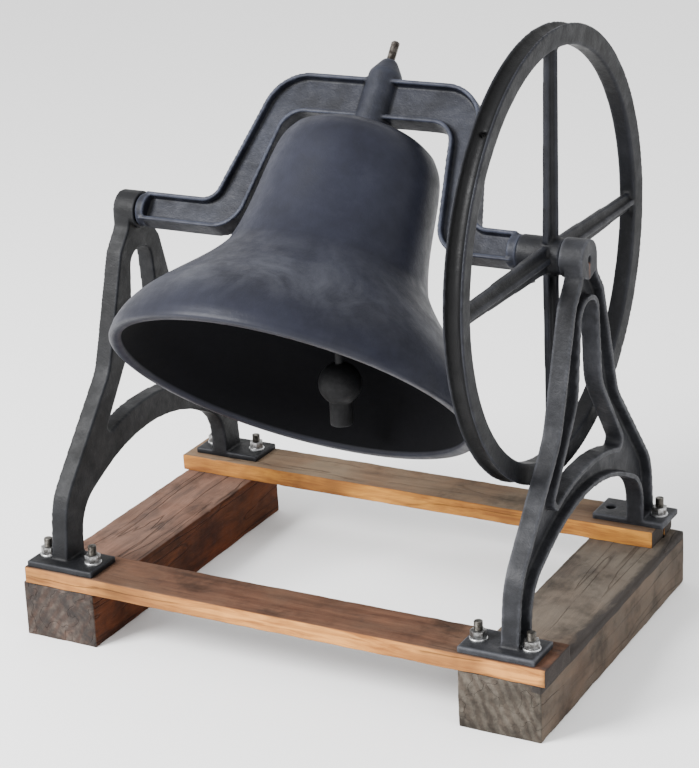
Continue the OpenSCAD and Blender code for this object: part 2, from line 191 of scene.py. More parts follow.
def carried(group, value, low, high, at_low, at_high):
    """A value carried from one range to another."""
    return add(group, "ShaderNodeMapRange", {
        "Value": value, "From Min": low, "From Max": high,
        "To Min": at_low, "To Max": at_high}).outputs[0]


def build_timber_group():
    """Grain along the piece's own X, with pores, dark knots, cracks and grey weathering."""
    group, given, out = new_group(
        "timber grain",
        [
            ("Weathering", 0.5), ("Knots", 0.5), ("Cracks", 0.5), ("End", 0.0), ("Fresh", 0.0),
            ("Soot", 0.0), ("Stain and side shade", 0.0)],
        [
            ("Pale", (0.5, 0.3, 0.15)), ("Dark", (0.2, 0.1, 0.05)), ("Grey", (0.3, 0.28, 0.25)),
            ("Cut", (0.6, 0.35, 0.12))],
        [("Color", "NodeSocketColor"), ("Roughness", "NodeSocketFloat"), ("Height", "NodeSocketFloat")],
    )
    g = given.outputs
    group.interface.new_socket("Place", in_out="INPUT", socket_type="NodeSocketVector")
    place = given.outputs["Place"]
    bend = add(group, "ShaderNodeTexNoise", {"Vector": place, "Scale": 5.0, "Detail": 3.0})
    swerve = add(
        group, "ShaderNodeVectorMath", {0: bend.outputs["Color"], 1: (0.012, 0.02, 0.02)},
        operation="MULTIPLY").outputs[0]
    wavy = add(group, "ShaderNodeVectorMath", {0: place, 1: swerve}, operation="ADD").outputs[0]
    long = stretched(group, wavy, (5.0, 75.0, 75.0))
    rings = noise(group, long, 1.0, 4.0, 0.6)
    fine = stretched(group, wavy, (28.0, 620.0, 620.0))
    pores = noise(group, fine, 1.0, 3.0, 0.7)
    cloudy = noise(group, place, 13.0, 5.0, 0.65)
    blotch = noise(group, place, 4.2, 4.0, 0.6, distortion=0.5)
    early = ramp(group, rings, (0.36, 0.0), (0.5, 0.55), (0.66, 1.0))
    wood = mixed(group, early, g["Dark"], g["Pale"])
    wood = mixed(group, ramp(group, pores, (0.36, 0.55), (0.58, 0.0)), wood, g["Dark"])
    weather = maths(
        group, "MULTIPLY", ramp(group, blotch, (0.38, 0.15), (0.62, 1.0)), g["Weathering"], True)
    wood = mixed(group, weather, wood, g["Grey"])
    stain = ramp(group, cloudy, (0.3, 0.45), (0.47, 1.0), (0.75, 1.18))
    wood = mixed(group, 1.0, wood, stain, "MULTIPLY")
    # fresh edges: yellow sapwood with brown burns and dirt in the grain
    cutlong = stretched(group, wavy, (9.0, 40.0, 120.0))
    cutgrain = noise(group, cutlong, 1.0, 5.0, 0.65, distortion=0.7)
    fresh = mixed(group, ramp(group, cutgrain, (0.35, 1.0), (0.6, 0.0)), g["Cut"], (0.25, 0.095, 0.025))
    fresh = mixed(group, ramp(group, blotch, (0.44, 0.0), (0.66, 0.85)), fresh, (0.14, 0.055, 0.02))
    wood = mixed(group, g["Fresh"], wood, fresh)
    # knots: dark rounded spots, stretched a little along the grain
    spotted = stretched(group, place, (6.5, 13.0, 13.0))
    cell = add(group, "ShaderNodeTexVoronoi", {"Vector": spotted, "Scale": 1.0, "Randomness": 1.0})
    spot = ramp(group, cell.outputs["Distance"], (0.07, 1.0), (0.17, 0.6), (0.27, 0.0))
    spot = maths(group, "MULTIPLY", spot, g["Knots"], True)
    wood = mixed(group, spot, wood, (0.035, 0.016, 0.008))
    # cracks: thin dark lines along the grain
    split = stretched(group, wavy, (1.6, 30.0, 30.0))
    crack = noise(group, split, 1.0, 2.0, 0.4)
    line = ramp(
        group, maths(group, "ABSOLUTE", maths(group, "SUBTRACT", crack, 0.5)), (0.0, 1.0), (0.011, 0.0))
    some = ramp(group, blotch, (0.48, 0.0), (0.54, 1.0))
    line = maths(group, "MULTIPLY", maths(group, "MULTIPLY", line, some), g["Cracks"], True)
    wood = mixed(group, line, wood, (0.018, 0.010, 0.006))
    # end grain: rings seen end on, dirty grey-brown with coarse pores
    ringed = stretched(group, place, (0.0, 1.0, 1.0), location=(0.0, 0.02, 0.12))
    years = add(
        group, "ShaderNodeTexWave",
        {"Vector": ringed, "Scale": 22.0, "Distortion": 5.0, "Detail": 3.0, "Detail Scale": 1.6},
        wave_type="RINGS", rings_direction="X")
    pits = noise(group, place, 95.0, 5.0, 0.72)
    butt = mixed(group, ramp(group, years.outputs["Fac"], (0.2, 0.5), (0.8, 0.0)), g["Grey"], g["Dark"])
    butt = mixed(group, 1.0, butt, ramp(group, pits, (0.34, 0.5), (0.5, 0.72), (0.68, 0.95)), "MULTIPLY")
    butt = mixed(group, 1.0, butt, ramp(group, cloudy, (0.36, 0.35), (0.6, 1.1)), "MULTIPLY")
    wood = mixed(group, g["End"], wood, butt)
    # red-brown stain and soot, both patchy; on the beams' sides facing +X the stain is partly painted shade
    smear = stretched(group, place, (14.0, 34.0, 34.0))
    smudge = noise(group, smear, 1.0, 5.0, 0.62, distortion=0.6)
    tint = mixed(
        group, ramp(group, smudge, (0.4, 0.0), (0.68, 1.0)), (0.30, 0.16, 0.08), (0.75, 0.38, 0.16))
    wood = mixed(group, g["Stain and side shade"], wood, mixed(group, 1.0, wood, tint, "MULTIPLY"))
    grime = maths(group, "SUBTRACT", 0.62, smudge)
    grime = maths(
        group, "ADD", maths(group, "MULTIPLY", grime, 1.6), maths(group, "MULTIPLY", g["Soot"], 1.5))
    grime = maths(
        group, "MULTIPLY", ramp(group, grime, (0.55, 0.0), (1.05, 0.9)),
        ramp(group, g["Soot"], (0.0, 0.0), (0.12, 1.0)))
    wood = mixed(group, grime, wood, (0.022, 0.019, 0.018))
    group.links.new(wood, out.inputs["Color"])
    rough = carried(group, pores, 0.0, 1.0, 0.7, 0.92)
    group.links.new(rough, out.inputs["Roughness"])
    high = maths(group, "MULTIPLY", pores, 0.5)
    high = maths(group, "ADD", high, maths(group, "MULTIPLY", rings, 0.9))
    high = maths(
        group, "ADD", high, maths(group, "MULTIPLY", maths(group, "MULTIPLY", pits, g["End"]), 1.2))
    high = maths(group, "SUBTRACT", high, maths(group, "MULTIPLY", line, 2.2))
    high = maths(group, "SUBTRACT", high, maths(group, "MULTIPLY", spot, 0.5))
    group.links.new(high, out.inputs["Height"])
    return group


timber_grain = build_timber_group()
above_floor = 0.0002


def timber_material(name, turn, move, bump=0.0016, **values):
    """Timber whose grain runs along X after turning, with this piece's own tones."""
    material = bpy.data.materials.new(name)
    nodes, links, shader = node_tree(material)
    tree = material.node_tree
    coords = nodes.new("ShaderNodeTexCoord")
    place = add(
        tree, "ShaderNodeMapping",
        {"Vector": coords.outputs["Object"], "Location": move, "Rotation": (0, 0, turn)})
    grain = nodes.new("ShaderNodeGroup")
    grain.node_tree = timber_grain
    links.new(place.outputs[0], grain.inputs["Place"])
    for key, value in values.items():
        grain.inputs[key].default_value = (*value, 1) if isinstance(value, tuple) else value
    for mark, socket in (
        ("end_grain", "End"), ("fresh_cut", "Fresh"), ("soot", "Soot"), ("stain", "Stain and side shade")):
        seen = add(tree, "ShaderNodeAttribute", attribute_name=mark)
        links.new(seen.outputs["Fac"], grain.inputs[socket])
    bump_node = add(
        tree, "ShaderNodeBump", {"Strength": 0.75, "Distance": bump, "Height": grain.outputs["Height"]})
    links.new(grain.outputs["Color"], shader.inputs["Base Color"])
    links.new(grain.outputs["Roughness"], shader.inputs["Roughness"])
    links.new(bump_node.outputs[0], shader.inputs["Normal"])
    shader.inputs["Specular IOR Level"].default_value = 0.15
    return material


def mark_timber(piece, end_axis, fresh_front=False):
    """Attributes for end grain, the freshly cut front edge, soot, and red stain, which on the beams' sides
    facing +X is partly painted shade.
    """
    mesh = piece.data
    normals, points = read_vectors(mesh.vertices, "normal"), read_vectors(mesh.vertices, "co")
    if not fresh_front:
        points[:, 2] = np.maximum(points[:, 2], above_floor)
        mesh.vertices.foreach_set("co", points.ravel())
    low, high = points.min(0), points.max(0)
    ends = (np.abs(normals[:, end_axis]) > 0.75).astype(np.float32)
    if fresh_front:
        front = (normals[:, 1] < -0.6) * 1.0
        soot = np.maximum(ends * 0.75, 0.35 * np.exp(-(high[0] - points[:, 0]) / 0.02))
        soot = np.maximum(soot, 0.13 * (normals[:, 2] > 0.6))
        stain = 0.25 * (normals[:, 2] > 0.6)
        ends = ends * 0.6
    else:
        front = np.zeros(len(points))
        right_side = low[0] > 0
        from_outer_edge = (high[0] - points[:, 0]) / 0.02
        near_top = points[:, 2] > high[2] - 0.012
        soot = 0.62 * np.exp(-(from_outer_edge ** 2)) * near_top * right_side
        soot = np.maximum(soot, 0.22 * (normals[:, 2] > 0.6))
        soot = np.maximum(soot, ends * (0.12 if right_side else 0.42))
        # the beams' sides facing +X are darkened and reddened by the stain, partly as painted shade, the
        # left beam's fully
        stain = (normals[:, 0] > 0.6) * (0.35 if right_side else 1.0)
    for name, values in (("end_grain", ends), ("fresh_cut", front), ("soot", soot), ("stain", stain)):
        write_mark(mesh, name, values)


left_beam_timber = timber_material(
    "left beam timber", math.radians(90), (0.3, 0.1, 0.0), Weathering=0.35, Knots=0.25, Cracks=0.6,
    Pale=(0.165, 0.082, 0.053), Dark=(0.078, 0.034, 0.021), Grey=(0.13, 0.10, 0.083))
right_beam_timber = timber_material(
    "right beam timber", math.radians(90), (0.9, 0.4, 0.2), Weathering=0.9, Knots=0.2, Cracks=0.5,
    Pale=(0.105, 0.076, 0.055), Dark=(0.045, 0.031, 0.023), Grey=(0.108, 0.092, 0.074))
for side, material in (("left", left_beam_timber), ("right", right_beam_timber)):
    beam = softened_copy(side + "_beam_timber", side + "_beam", 0.0024, 3, 0.0020, 0.03)
    mark_timber(beam, 1)
    finish_piece(beam, "base", side + "_beam_timber", material, side + "_beam")


# ---------------------------------------------------------------- boards
# Two planks lie across the beams under the feet. Their front edges were cut
# later than the rest and are still yellow, with brown heart streaks and cracks.

board_timber = {
    "front": timber_material(
        "front board timber", 0.0, (0.15, 0.0, 0.3), Weathering=0.5, Knots=0.55, Cracks=0.5,
        Pale=(0.135, 0.068, 0.042), Dark=(0.058, 0.024, 0.014), Grey=(0.112, 0.080, 0.055),
        Cut=(0.56, 0.25, 0.065)),
    "back": timber_material(
        "back board timber", 0.0, (1.7, 0.6, 0.1), Weathering=0.75, Knots=0.5, Cracks=0.5,
        Pale=(0.19, 0.115, 0.066), Dark=(0.095, 0.048, 0.026), Grey=(0.17, 0.14, 0.10),
        Cut=(0.56, 0.25, 0.045)),
}
for side in ("front", "back"):
    board = softened_copy(side + "_board_timber", side + "_board", 0.0020, 2, 0.0016, 0.028)
    mark_timber(board, 0, fresh_front=True)
    finish_piece(board, "base", side + "_board_timber", board_timber[side], side + "_board")


# ---------------------------------------------------------------- stands
# Two A-shaped stands of grey iron, cast in sand and painted blue-black. Their
# outer faces are recessed between raised beads; the inner faces are flat.

def build_cast_group():
    """Painted sand-cast skin: fine grit, soft hollows, dust on top, paint worn grey on the edges, and
    painted shade darkening concave corners.
    """
    group, given, out = new_group(
        "sand cast skin",
        [("Grit", 1.0), ("Sheen", 0.5), ("Dust", 0.3), ("Mottle", 1.0), ("Worn", 0.0), ("Painted shade", 0.0)],
        [("Paint", (0.004, 0.0042, 0.0052)), ("Bare", (0.03, 0.031, 0.036))],
        [("Color", "NodeSocketColor"), ("Roughness", "NodeSocketFloat"), ("Height", "NodeSocketFloat")],
    )
    g = given.outputs
    place = add(group, "ShaderNodeTexCoord").outputs["Object"]
    broad = noise(group, place, 9.0, 5.0, 0.6)
    patch = noise(group, place, 38.0, 6.0, 0.68)
    sand = noise(group, place, 420.0, 3.0, 0.6)
    pits = add(group, "ShaderNodeTexVoronoi", {"Vector": place, "Scale": 210.0, "Randomness": 1.0})
    skin = mixed(group, ramp(group, broad, (0.35, 0.0), (0.65, 0.55)), g["Paint"], g["Bare"])
    skin = mixed(group, 0.45, skin, g["Paint"])
    lift = ramp(group, patch, (0.32, 0.62), (0.5, 1.0), (0.72, 1.55))
    skin = mixed(group, g["Mottle"], skin, lift, "MULTIPLY")
    dusty = maths(group, "MULTIPLY", ramp(group, patch, (0.52, 0.0), (0.7, 1.0)), g["Dust"], True)
    skin = mixed(group, dusty, skin, (0.026, 0.025, 0.025))
    rubbed = maths(group, "MULTIPLY", g["Worn"], ramp(group, patch, (0.3, 0.35), (0.6, 1.0)), True)
    skin = mixed(group, rubbed, skin, g["Bare"])
    # painted shade: concave corners, and the wheel's rope groove, are darkened towards black
    shade = maths(group, "MULTIPLY", g["Painted shade"], 0.8, True)
    skin = mixed(group, shade, skin, (0.0015, 0.0015, 0.0018))
    group.links.new(skin, out.inputs["Color"])
    matt = carried(group, patch, 0.3, 0.7, 0.1, -0.08)
    rough = maths(group, "SUBTRACT", 0.9, maths(group, "MULTIPLY", g["Sheen"], 0.6))
    rough = maths(group, "ADD", rough, matt, True)
    group.links.new(rough, out.inputs["Roughness"])
    high = maths(group, "ADD", maths(group, "MULTIPLY", sand, 0.6), maths(group, "MULTIPLY", patch, 1.6))
    high = maths(
        group, "ADD", high,
        maths(group, "MULTIPLY", ramp(group, pits.outputs["Distance"], (0.0, 0.0), (0.25, 1.0)), 0.25))
    high = maths(group, "MULTIPLY", high, g["Grit"])
    group.links.new(high, out.inputs["Height"])
    return group


cast_skin = build_cast_group()


def cast_material(name, bump=0.0009, **values):
    """Painted cast iron with this piece's own tone, grit and gloss."""
    material = bpy.data.materials.new(name)
    nodes, links, shader = node_tree(material)
    tree = material.node_tree
    skin = nodes.new("ShaderNodeGroup")
    skin.node_tree = cast_skin
    for key, value in values.items():
        skin.inputs[key].default_value = (*value, 1) if isinstance(value, tuple) else value
    for mark, socket in (("worn", "Worn"), ("painted_shade", "Painted shade")):
        seen = add(tree, "ShaderNodeAttribute", attribute_name=mark)
        links.new(seen.outputs["Fac"], skin.inputs[socket])
    bump_node = add(
        tree, "ShaderNodeBump", {"Strength": 0.7, "Distance": bump, "Height": skin.outputs["Height"]})
    links.new(skin.outputs["Color"], shader.inputs["Base Color"])
    links.new(skin.outputs["Roughness"], shader.inputs["Roughness"])
    links.new(bump_node.outputs[0], shader.inputs["Normal"])
    shader.inputs["Specular IOR Level"].default_value = 0.2
    return material


def mark_wear_and_shade(piece, strength=1.0):
    """Attributes for worn edges and for painted shade in concave corners, from how far each point stands
    out.
    """
    mesh = piece.data
    normals, points = read_vectors(mesh.vertices, "normal"), read_vectors(mesh.vertices, "co")
    edges = np.zeros(len(mesh.edges) * 2, np.int32)
    mesh.edges.foreach_get("vertices", edges)
    edges = edges.reshape(-1, 2)
    number = np.bincount(edges.ravel(), minlength=len(points)).astype(np.float32)
    number[number == 0] = 1

    def spread(values):
        total = np.zeros_like(values)
        np.add.at(total, edges[:, 0], values[edges[:, 1]])
        np.add.at(total, edges[:, 1], values[edges[:, 0]])
        return total / (number[:, None] if values.ndim == 2 else number)

    step = np.linalg.norm(points[edges[:, 0]] - points[edges[:, 1]], axis=1).mean()
    bulge = -((spread(points) - points) * normals).sum(1) / step
    for _ in range(2):
        bulge = 0.5 * bulge + 0.5 * spread(bulge)
    worn = np.clip((bulge - 0.02) * 9 * strength, 0, 1)
    # painted shade: how deep each point lies in a concave corner, where shade falls
    painted_shade = np.clip((-bulge - 0.02) * 9, 0, 1)
    write_mark(mesh, "worn", worn)
    write_mark(mesh, "painted_shade", painted_shade)


trunnion_height = frame["joints"][0]["pos_m"][2]


def rust_run(material, head, width, length):
    """A run of rust down a face from a hole, added over a cast material's colour."""
    tree = material.node_tree
    shader = tree.nodes["Principled BSDF"]
    under = shader.inputs["Base Color"].links[0].from_socket
    place = add(tree, "ShaderNodeTexCoord").outputs["Object"]
    wander = noise(tree, place, 60.0, 3.0)
    parts = add(tree, "ShaderNodeSeparateXYZ", {"Vector": place})
    sway = maths(tree, "MULTIPLY", maths(tree, "SUBTRACT", wander, 0.5), 0.006)
    off = maths(
        tree, "ABSOLUTE", maths(tree, "ADD", maths(tree, "SUBTRACT", parts.outputs["Y"], head[1]), sway))
    across = carried(tree, off, width * 0.3, width, 1.0, 0.0)
    fall = maths(tree, "SUBTRACT", head[2], parts.outputs["Z"])
    down = carried(tree, fall, 0.0, length, 1.0, 0.0)
    start = maths(tree, "GREATER_THAN", fall, -0.004)
    outer = maths(tree, "GREATER_THAN", parts.outputs["X"], head[0])
    mask = maths(
        tree, "MULTIPLY", maths(tree, "MULTIPLY", across, down), maths(tree, "MULTIPLY", start, outer))
    tree.links.new(mixed(tree, mask, under, (0.075, 0.028, 0.014)), shader.inputs["Base Color"])


# The two stands are the same casting; the left one's far darker paint and bare tones are painted shade, the
# right one's are its lit tone.
stand_look = {
    "left": cast_material(
        "left stand iron in painted shade", Sheen=0.6, Dust=0.15, Paint=(0.0014, 0.0015, 0.0021),
        Bare=(0.012, 0.013, 0.016)),
    "right": cast_material(
        "right stand iron", Sheen=0.6, Dust=0.35, Paint=(0.0065, 0.0068, 0.0085),
        Bare=(0.050, 0.052, 0.060)),
}
boss_face = 0.3485
rust_head = (boss_face, 0.0, trunnion_height - 0.004)
rust_run(stand_look["right"], rust_head, width=0.0035, length=0.026)
for side in ("left", "right"):
    stand = softened_copy(side + "_stand_casting", side + "_stand", 0.0018, 2, 0.0005, 0.02)
    mark_wear_and_shade(stand)
    finish_piece(stand, "base", "stand_iron", stand_look[side], side + "_stand")


# ---------------------------------------------------------------- foot bolts
# Seven 12 mm bolts come up through beam, board and foot plate. Each has a
# bright zinc washer, a hexagon nut that has dulled, and a dark rolled thread.

def metal_material(name, colour, dark, rough, metallic=1.0, grain=160.0):
    """Plain steel or zinc with grime in its fine scratches."""
    material = bpy.data.materials.new(name)
    nodes, links, shader = node_tree(material)
    tree = material.node_tree
    place = add(tree, "ShaderNodeTexCoord").outputs["Object"]
    spots = noise(tree, place, grain, 5.0, 0.7)
    tone = mixed(tree, ramp(tree, spots, (0.38, 1.0), (0.6, 0.0)), colour, dark)
    rougher = carried(tree, spots, 0.3, 0.7, rough + 0.15, rough - 0.08)
    dents = add(tree, "ShaderNodeBump", {"Strength": 0.35, "Distance": 0.0004, "Height": spots})
    links.new(tone, shader.inputs["Base Color"])
    links.new(rougher, shader.inputs["Roughness"])
    links.new(dents.outputs[0], shader.inputs["Normal"])
    shader.inputs["Metallic"].default_value = metallic
    return material


def threaded_rod(bm, radius, low, high, pitch, spot):
    """A rod with a cut thread, upright at spot."""
    depth = 0.6 * pitch
    turns = int(math.ceil((high - low) / pitch)) + 1
    start = len(bm.verts)
    profile = []
    for k in range(2 * turns + 1):
        reach = radius - (depth if k % 2 else 0.0)
        profile.append(bm.verts.new((reach, 0.0, low - pitch + k * pitch / 2)))
    edges = [bm.edges.new(pair) for pair in zip(profile, profile[1:])]
    bmesh.ops.spin(
        bm, geom=profile + edges, cent=(0, 0, 0), axis=(0, 0, 1), dvec=(0, 0, pitch / 24), angle=math.tau,
        steps=24)
    bm.verts.ensure_lookup_table()
    bmesh.ops.remove_doubles(bm, verts=bm.verts[start:], dist=1e-6)
    bm.verts.ensure_lookup_table()
    for height, keep in ((low, 1), (high, -1)):
        geom = bm.verts[start:]
        edges = {e for v in geom for e in v.link_edges}
        faces = {f for v in geom for f in v.link_faces}
        geom += list(edges) + list(faces)
        cut = bmesh.ops.bisect_plane(
            bm, geom=geom, dist=1e-6, plane_co=(0, 0, height), plane_no=(0, 0, -keep), clear_outer=True)
        rim = [g for g in cut["geom_cut"] if isinstance(g, bmesh.types.BMEdge)]
        bmesh.ops.edgenet_fill(bm, edges=rim)
        bm.verts.ensure_lookup_table()
    bmesh.ops.translate(bm, verts=bm.verts[start:], vec=spot)


def to_piece(bm, name, smooth_below=35.0):
    """The finished mesh as an object, with faces outward and edges kept sharp where they are."""
    bmesh.ops.recalc_face_normals(bm, faces=bm.faces)
    limit = math.radians(smooth_below)
    for face in bm.faces:
        face.smooth = True
    for edge in bm.edges:
        edge.smooth = len(edge.link_faces) != 2 or edge.calc_face_angle() < limit
    mesh = bpy.data.meshes.new(name)
    bm.to_mesh(mesh)
    bm.free()
    piece = bpy.data.objects.new(name, mesh)
    bpy.context.scene.collection.objects.link(piece)
    return piece


washer_low, washer_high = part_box("foot_washers")
nut_low, nut_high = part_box("foot_nuts")
bolt_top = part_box("foot_bolts")[1].z
thread_pitch = 0.00175
bolt_radius = 0.006
head_top, head_height = 0.012, 0.006
head_radius, head_crown_radius = 0.011, 0.0098
washer_bore, washer_radius = 0.0063, 0.012
washer_thick, washer_edge = 0.0025, 0.0006
nut_radius, nut_bevel = 0.01108, 0.0011
hole_spacing = 0.073
bolt_line = (washer_high.y - washer_low.y) / 2 - washer_radius
foot_out = washer_high.x - washer_radius
foot_in = foot_out - hole_spacing
spots = [(sx * reach, sy * bolt_line) for sx in (-1, 1) for sy in (-1, 1) for reach in (foot_in, foot_out)
         if not (sx == 1 and sy == 1 and reach == foot_in)]

bolts = bmesh.new()
thread_start = washer_low.z - 0.004
for number, (x, y) in enumerate(spots):
    thread_end = bolt_top - 0.0012 * (number % 3)
    threaded_rod(bolts, bolt_radius, thread_start, thread_end, thread_pitch, Vector((x, y, 0)))
    shank = bmesh.ops.create_cone(
        bolts, cap_ends=True, segments=24, radius1=bolt_radius - 0.0003,
        radius2=bolt_radius - 0.0003, depth=thread_start - head_top)
    bmesh.ops.translate(bolts, verts=shank["verts"], vec=(x, y, (thread_start + head_top) / 2))
    head = bmesh.ops.create_cone(
        bolts, cap_ends=True, segments=24, radius1=head_radius,
        radius2=head_crown_radius, depth=head_height)
    bmesh.ops.translate(bolts, verts=head["verts"], vec=(x, y, head_top - head_height / 2))
finish_piece(to_piece(bolts, "foot_bolt_threads"), "base", "bolt_steel",
             metal_material("bolt steel", (0.16, 0.15, 0.135), (0.03, 0.026, 0.022), 0.42), "foot_bolts")

washers = bmesh.new()
outline = [(washer_bore, 0.0), (washer_bore, washer_thick), (washer_radius - washer_edge, washer_thick),
           (washer_radius, washer_thick - washer_edge), (washer_radius, 0.0)]
for number, (x, y) in enumerate(spots):
    ring = [washers.verts.new((r, 0, washer_low.z + h)) for r, h in outline]
    edges = [washers.edges.new((ring[k], ring[(k + 1) % len(ring)])) for k in range(len(ring))]
    bmesh.ops.spin(
        washers, geom=ring + edges, cent=(0, 0, 0), axis=(0, 0, 1), angle=math.tau, steps=48,
        use_merge=True)
    washers.verts.ensure_lookup_table()
    made = washers.verts[number * 48 * len(outline):]
    bmesh.ops.translate(washers, verts=made, vec=(x, y, 0))
finish_piece(to_piece(washers, "foot_washer_rings"), "base", "washer_zinc",
             metal_material("washer zinc", (0.72, 0.73, 0.74), (0.38, 0.38, 0.38), 0.38), "foot_washers")

nut_height = nut_high.z - nut_low.z
one_nut = bmesh.new()
bmesh.ops.create_cone(
    one_nut, cap_ends=True, segments=6, radius1=nut_radius, radius2=nut_radius, depth=nut_height)
rims = [e for e in one_nut.edges if abs(e.verts[0].co.z - e.verts[1].co.z) < 1e-6]
bmesh.ops.bevel(one_nut, geom=rims, offset=nut_bevel, segments=2, profile=0.5, affect="EDGES", material=-1)
nut_shape = bpy.data.meshes.new("nut shape")
one_nut.to_mesh(nut_shape)
one_nut.free()
nuts = bmesh.new()
for number, (x, y) in enumerate(spots):
    before = len(nuts.verts)
    nuts.from_mesh(nut_shape)
    nuts.verts.ensure_lookup_table()
    made = nuts.verts[before:]
    bmesh.ops.rotate(nuts, verts=made, cent=(0, 0, 0), matrix=Matrix.Rotation(0.7 * number + 0.2, 3, "Z"))
    bmesh.ops.translate(nuts, verts=made, vec=(x, y, (nut_low.z + nut_high.z) / 2))
finish_piece(to_piece(nuts, "foot_nut_hexagons", 30), "base", "nut_steel",
             metal_material("nut steel", (0.34, 0.34, 0.34), (0.09, 0.085, 0.08), 0.4), "foot_nuts")


# ---------------------------------------------------------------- yoke
# One arched casting with a thin web between flanges carries the bell. Round
# collars end its arms, and a domed boss in the middle takes the crown bolt.

yoke_iron = cast_material(
    "yoke iron", Sheen=0.66, Dust=0.3, Grit=0.9, Paint=(0.0062, 0.0070, 0.0115), Bare=(0.038, 0.043, 0.062))
yoke = softened_copy("yoke_casting", "yoke", 0.0018, 2, 0.0005, 0.02)
mark_wear_and_shade(yoke)
finish_piece(yoke, "swing", "yoke_iron", yoke_iron, "yoke")


# ---------------------------------------------------------------- rope wheel
# A light cast wheel with a rope groove between two flanges and four tapered
# spokes, each flat inside with a rib outside. A set screw holds its hub.

# The wheel's blue-black paint and bare tones are set much darker than the yoke's and bell's, as painted
# shade for its shaded rim.
wheel_iron = cast_material(
    "wheel iron", Sheen=0.62, Dust=0.12, Grit=0.9, Paint=(0.0014, 0.0016, 0.0023),
    Bare=(0.012, 0.013, 0.018))
wheel = softened_copy("rope_wheel_casting", "rope_wheel", 0.0021, 2, 0.0005, 0.022)
mark_wear_and_shade(wheel)
# The rope groove is added to the painted shade mark, so its colour is painted dark as shade.
wheel_middle, groove_half = 0.2975, 0.0098
groove_start, groove_floor = 0.0012, 0.0125
points = read_vectors(wheel.data.vertices, "co")
rim_radius = (points[:, 2].max() - points[:, 2].min()) / 2
deep = rim_radius - np.hypot(points[:, 1], points[:, 2] - trunnion_height)
in_groove = (deep > groove_start) & (deep < groove_floor)
in_groove &= np.abs(points[:, 0] - wheel_middle) < groove_half
hollows = wheel.data.attributes["painted_shade"].data
shade = np.zeros(len(points), np.float32)
hollows.foreach_get("value", shade)
hollows.foreach_set("value", np.maximum(shade, in_groove.astype(np.float32)))
finish_piece(wheel, "swing", "wheel_iron", wheel_iron, "rope_wheel")

screw_steel = metal_material("screw steel", (0.12, 0.12, 0.12), (0.03, 0.03, 0.03), 0.45)
screw = softened_copy("set_screw", "wheel_screw", 0.0006, 2)
finish_piece(screw, "swing", "screw_steel", screw_steel, "wheel_screw")


# ---------------------------------------------------------------- bell
# The bell was swept up in loam and cast mouth down in grey iron: thin at the
# waist, thick at the sound bow, with faint beads near its crown and its lip.

lean = math.radians(40)
R, H = 0.251, 0.36897  # radius of the mouth and height of the bell
bell_drop = 0.23092
wall_at_waist, more_at_bow = 0.011, 0.009
bolt_hole_radius = 0.0075
bell_middle = frame["joints"][1]["pos_m"][0]


def hang(bm):
    """Leans a mesh made about the swing axis as the bell hangs, and sets it between the stands."""
    bmesh.ops.rotate(bm, verts=bm.verts, cent=(0, 0, 0), matrix=Matrix.Rotation(-lean, 3, "X"))
    bmesh.ops.translate(bm, verts=bm.verts, vec=(bell_middle, 0, trunnion_height))


def bezier(a, b, c, d, count):
    """Points of one cubic curve without its end point."""
    a, b, c, d = (np.array(p) for p in (a, b, c, d))
    return [a * (1 - t) ** 3 + 3 * b * (1 - t) ** 2 * t + 3 * c * (1 - t) * t * t + d * t ** 3
            for t in np.arange(count) / count]


outside = bezier((R, 0.003), (R, 0.185 * H), (0.685 * R, 0.3 * H), (0.555 * R, 0.46 * H), 40)
outside += bezier(
    (0.555 * R, 0.46 * H), (0.485 * R, 0.6 * H), (0.49 * R, 0.74 * H), (0.455 * R, 0.87 * H), 30)
outside += bezier((0.455 * R, 0.87 * H), (0.435 * R, 0.94 * H), (0.38 * R, 0.985 * H), (0.27 * R, H), 20)
outside += [np.array((0.27 * R, H)), np.array((0.18 * R, H + 0.0006)), np.array((0.10 * R, H + 0.0008))]
outside = np.array(outside)
runs = np.gradient(outside, axis=0)
runs /= np.linalg.norm(runs, axis=1)[:, None]
wall = wall_at_waist + more_at_bow * np.exp(-((outside[:, 1] - 0.09 * H) / (0.1 * H)) ** 2)
inside = outside + np.stack([-runs[:, 1], runs[:, 0]], 1) * wall[:, None]
inside = inside[(inside[:, 1] > 0.002) & (inside[:, 1] < H - 0.0115)]
bead = 0.0007 * np.exp(-((outside[:, 1] - 0.955 * H) / 0.0022) ** 2)
bead += 0.0006 * np.exp(-((outside[:, 1] - 0.045 * H) / 0.0024) ** 2)
outside = outside + np.stack([runs[:, 1], -runs[:, 0]], 1) * bead[:, None]
lip = [(R - 0.0135, 0.0004), (R - 0.008, 0.0), (R - 0.003, 0.0), (R - 0.0008, 0.001)]
profile_points = [(bolt_hole_radius, H - 0.011)] + [tuple(p) for p in inside[::-1]] + lip
profile_points += [tuple(p) for p in outside] + [(bolt_hole_radius, H + 0.0008)]
shell = bmesh.new()
profile = [shell.verts.new((r, 0, z)) for r, z in profile_points]
profile_edges = [shell.edges.new(pair) for pair in zip(profile, profile[1:] + profile[:1])]
bmesh.ops.spin(
    shell, geom=profile + profile_edges, cent=(0, 0, 0), axis=(0, 0, 1), angle=math.tau, steps=240,
    use_merge=True)
for vert in shell.verts:
    around = math.atan2(vert.co.y, vert.co.x)
    out = 0.00035 * math.sin(3 * around + 9 * vert.co.z) + 0.00025 * math.sin(7 * around - 21 * vert.co.z)
    vert.co.x *= 1 + out / R
    vert.co.y *= 1 + out / R
heights = np.array([v.co.z for v in shell.verts], np.float32)
radii = np.array([math.hypot(v.co.x, v.co.y) for v in shell.verts], np.float32)
outer_radii = np.interp(heights, outside[:-3, 1], outside[:-3, 0])
is_outer = (np.abs(radii - outer_radii) < 0.004).astype(np.float32)
